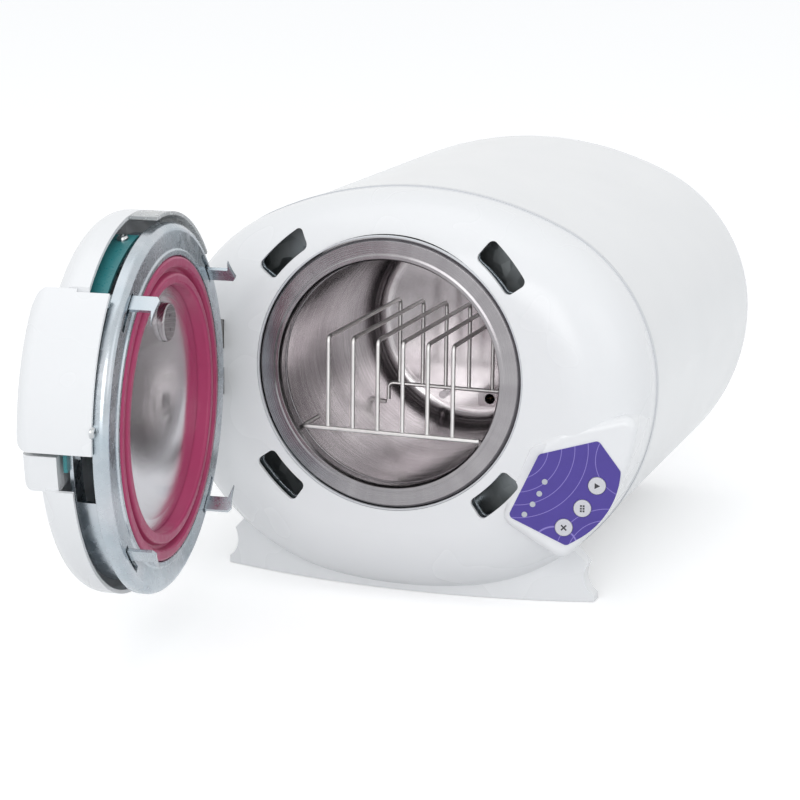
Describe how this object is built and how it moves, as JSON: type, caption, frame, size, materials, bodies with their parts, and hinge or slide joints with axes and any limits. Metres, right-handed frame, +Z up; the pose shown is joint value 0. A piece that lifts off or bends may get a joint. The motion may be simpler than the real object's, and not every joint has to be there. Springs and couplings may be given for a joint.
{
  "type": "tabletop autoclave",
  "caption": "Small white tabletop steam autoclave with an oval body, an open round door on a side hinge, a clawed lock ring, a wire rack and a keypad.",
  "frame": {"origin": "on the bench under the chamber axis, in the middle of the wall of the front skirt", "axes": "+Z up, +Y to the back along the chamber axis, +X to the right seen from the front"},
  "size_m": [0.3516, 0.6772, 0.289],
  "materials": {
    "white_abs": "gloss",
    "white_enamel": "gloss",
    "trim_white": "gloss",
    "ring_steel": "satin, turned",
    "chamber_steel": "brushed, heat-darkened",
    "spun_steel": "spun",
    "zinc_steel": "zinc plated",
    "wire_steel": "electropolished",
    "bracket_steel": "satin",
    "silicone": "satin",
    "lever_paint": "satin",
    "screw_steel": "bright",
    "grey_shroud": "satin",
    "film": "satin",
    "key_grey": "satin",
    "led_grey": "satin",
    "black_plastic": "satin",
    "rocker_red": "gloss",
    "foot_rubber": "matte",
    "brass": "machined",
    "insulation": "glass wool felt",
    "heater": "wrapped band",
    "circuit_green": "satin",
    "galvanised": "galvanised",
    "transformer_blue": "matte"
  },
  "bodies": {
    "cabinet": {"front_panel": "white_abs", "seam_trim": "trim_white", "barrel_shell": "white_enamel", "rear_cover": "white_abs", "base_tray": "galvanised", "feet": "foot_rubber", "bulkhead": "galvanised", "locking_plate": "zinc_steel", "plate_spacers": "zinc_steel", "chamber_ring": "ring_steel", "chamber_vessel": "chamber_steel", "chamber_end": "chamber_steel", "chamber_port": "chamber_steel", "temperature_probe": "ring_steel", "heater_band": "heater", "insulation": "insulation", "rear_cradle": "galvanised", "steam_pipe": "bracket_steel", "manifold": "brass", "manifold_bracket": "galvanised", "safety_valve": "brass", "pressure_switch": "zinc_steel", "solenoid_valve": "brass", "exhaust_pipe": "bracket_steel", "exhaust_fitting": "brass", "mains_inlet": "black_plastic", "fuse_holders": "black_plastic", "switch_frame": "black_plastic", "power_board": "circuit_green", "transformer": "transformer_blue", "control_board": "circuit_green", "tact_switches": "black_plastic", "keypad_film": "film", "led_lenses": "led_grey", "hinge_brackets": "bracket_steel", "hinge_pin": "screw_steel", "hinge_cap": "black_plastic"},
    "door": {"hinge_arm": "bracket_steel", "door_pan": "zinc_steel", "gasket": "silicone", "pressure_disc": "spun_steel", "vent_fitting": "ring_steel", "spindle": "zinc_steel", "lock_retainer": "zinc_steel", "door_cover": "white_abs", "door_shroud": "grey_shroud", "cover_posts": "zinc_steel"},
    "lock": {"claws": "zinc_steel", "claw_plate": "zinc_steel", "lock_lever": "lever_paint", "lever_screws": "screw_steel", "grip": "white_abs"},
    "rack": {"rack_loops_left": "wire_steel", "rack_loops_right": "wire_steel", "rack_front_wire": "wire_steel", "rack_rear_wire": "wire_steel"},
    "start_key": {"key_start": "key_grey"},
    "mode_key": {"key_mode": "key_grey"},
    "stop_key": {"key_stop": "key_grey"},
    "rocker": {"power_rocker": "rocker_red"}
  },
  "joints": [
    {"name": "door_swing", "type": "hinge", "parent": "cabinet", "child": "door", "pos_m": [-0.1286, -0.0529, 0.162], "axis": [0, 0, 1], "range_deg": [-15.5, 84.5]},
    {"name": "lock_turn", "type": "hinge", "parent": "door", "child": "lock", "pos_m": [-0.09348, -0.17871, 0.162], "axis": [0.9954, 0.0958, 0], "range_deg": [0, 7]},
    {"name": "rack_slide", "type": "slide", "parent": "cabinet", "child": "rack", "axis": [0, 1, 0], "range_m": [-0.2, 0.028]},
    {"name": "start_press", "type": "slide", "parent": "cabinet", "child": "start_key", "axis": [-0.1961, 0.9806, 0], "range_m": [0, 0.0008], "stiffness_N_per_m": 300},
    {"name": "mode_press", "type": "slide", "parent": "cabinet", "child": "mode_key", "axis": [-0.1961, 0.9806, 0], "range_m": [0, 0.0008], "stiffness_N_per_m": 300},
    {"name": "stop_press", "type": "slide", "parent": "cabinet", "child": "stop_key", "axis": [-0.1961, 0.9806, 0], "range_m": [0, 0.0008], "stiffness_N_per_m": 300},
    {"name": "power_rock", "type": "hinge", "parent": "cabinet", "child": "rocker", "pos_m": [-0.062, 0.35, 0.11], "axis": [1, 0, 0], "range_deg": [0, 20]}
  ]
}
